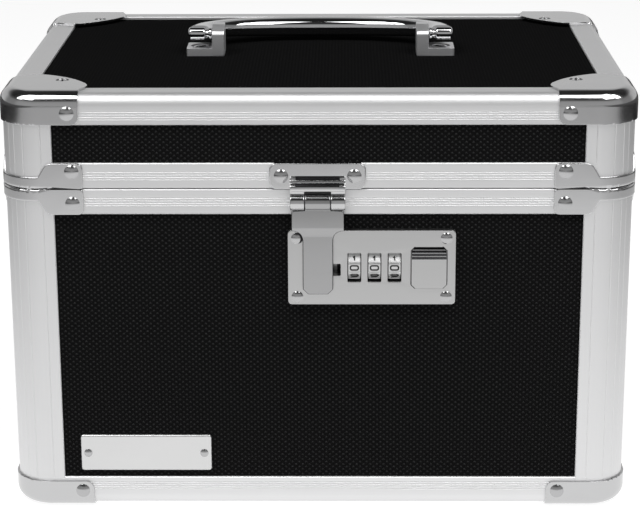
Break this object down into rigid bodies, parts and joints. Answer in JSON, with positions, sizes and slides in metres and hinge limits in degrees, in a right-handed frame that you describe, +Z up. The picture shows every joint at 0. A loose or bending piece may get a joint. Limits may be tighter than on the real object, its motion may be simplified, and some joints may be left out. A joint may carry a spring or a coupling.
{
  "type": "portable lock box",
  "caption": "Hard-sided portable lock box with a hinged lid, folding top handle, hasp, dial combination lock and push button.",
  "frame": {"origin": "on the ground under the middle of the box", "axes": "+Z up; the front with the lock faces -Y; +X is the box's right seen from the front"},
  "size_m": [0.2584, 0.1996, 0.1882],
  "materials": {
    "extrusion": "satin anodised, fine length-wise grooves",
    "chrome": "bright nickel and chrome plate on stamped steel",
    "polished": "mirror chrome plate on a cast bail",
    "satin_nickel": "satin nickel plate, fine brushed",
    "laminate": "black textured laminate, low sheen, raised diamond grain",
    "felt": "short black felt lining",
    "dark_steel": "plain zinc-plated steel"
  },
  "bodies": {
    "base": {"base_front_panel": "laminate", "base_back_panel": "laminate", "base_left_panel": "laminate", "base_right_panel": "laminate", "base_floor_panel": "laminate", "base_lining": "felt", "base_bottom_frame": "extrusion", "base_rim_frame": "extrusion", "base_post_front_left": "extrusion", "base_bottom_corner_front_left": "chrome", "base_rim_corner_front_left": "chrome", "base_post_front_right": "extrusion", "base_bottom_corner_front_right": "chrome", "base_rim_corner_front_right": "chrome", "base_post_back_left": "extrusion", "base_bottom_corner_back_left": "chrome", "base_rim_corner_back_left": "chrome", "base_post_back_right": "extrusion", "base_bottom_corner_back_right": "chrome", "base_rim_corner_back_right": "chrome", "lock_plate": "satin_nickel", "lock_case": "dark_steel", "nameplate": "satin_nickel", "hinge_base_leaf_left": "chrome", "hinge_pin_left": "dark_steel", "hinge_base_leaf_right": "chrome", "hinge_pin_right": "dark_steel"},
    "lid": {"lid_front_panel": "laminate", "lid_back_panel": "laminate", "lid_left_panel": "laminate", "lid_right_panel": "laminate", "lid_top_panel": "laminate", "lid_lining": "felt", "lid_top_frame": "extrusion", "lid_rim_frame": "extrusion", "lid_post_front_left": "extrusion", "lid_top_corner_front_left": "chrome", "lid_rim_corner_front_left": "chrome", "lid_post_front_right": "extrusion", "lid_top_corner_front_right": "chrome", "lid_rim_corner_front_right": "chrome", "lid_post_back_left": "extrusion", "lid_top_corner_back_left": "chrome", "lid_rim_corner_back_left": "chrome", "lid_post_back_right": "extrusion", "lid_top_corner_back_right": "chrome", "lid_rim_corner_back_right": "chrome", "hinge_lid_leaf_left": "chrome", "hinge_lid_leaf_right": "chrome", "handle_bracket_left": "polished", "handle_bracket_right": "polished", "hasp_bracket": "satin_nickel", "hasp_pin": "dark_steel"},
    "hasp": {"hasp_leaf": "satin_nickel"},
    "handle": {"handle": "polished"},
    "dial_left": {"dial_left": "satin_nickel"},
    "dial_middle": {"dial_middle": "satin_nickel"},
    "dial_right": {"dial_right": "satin_nickel"},
    "button": {"release_button": "satin_nickel"},
    "bolt": {"lock_bolt": "dark_steel"}
  },
  "joints": [
    {"name": "lid_hinge", "type": "hinge", "parent": "base", "child": "lid", "pos_m": [0, 0.095, 0.13745], "axis": [-1, 0, 0], "range_deg": [0, 98]},
    {"name": "handle_pivot", "type": "hinge", "parent": "lid", "child": "handle", "pos_m": [0, -0.004, 0.1838], "axis": [1, 0, 0], "range_deg": [0, 167]},
    {"name": "hasp_pivot", "type": "hinge", "parent": "lid", "child": "hasp", "pos_m": [0, -0.0962, 0.1332], "axis": [-1, 0, 0], "range_deg": [0, 100]},
    {"name": "dial_left_spin", "type": "hinge", "parent": "base", "child": "dial_left", "pos_m": [0.01435, -0.0881, 0.1051], "axis": [1, 0, 0], "continuous": true},
    {"name": "dial_middle_spin", "type": "hinge", "parent": "base", "child": "dial_middle", "pos_m": [0.02242, -0.0881, 0.1051], "axis": [1, 0, 0], "continuous": true},
    {"name": "dial_right_spin", "type": "hinge", "parent": "base", "child": "dial_right", "pos_m": [0.03049, -0.0881, 0.1051], "axis": [1, 0, 0], "continuous": true},
    {"name": "button_press", "type": "slide", "parent": "base", "child": "button", "axis": [0, 1, 0], "range_m": [0, 0.0025], "stiffness_N_per_m": 400, "springref_m": -0.001},
    {"name": "bolt_slide", "type": "slide", "parent": "base", "child": "bolt", "axis": [1, 0, 0], "range_m": [0, 0.0025]}
  ],
  "couplings": [
    {"joint": "bolt_slide", "follows": "button_press", "ratio": 1}
  ]
}
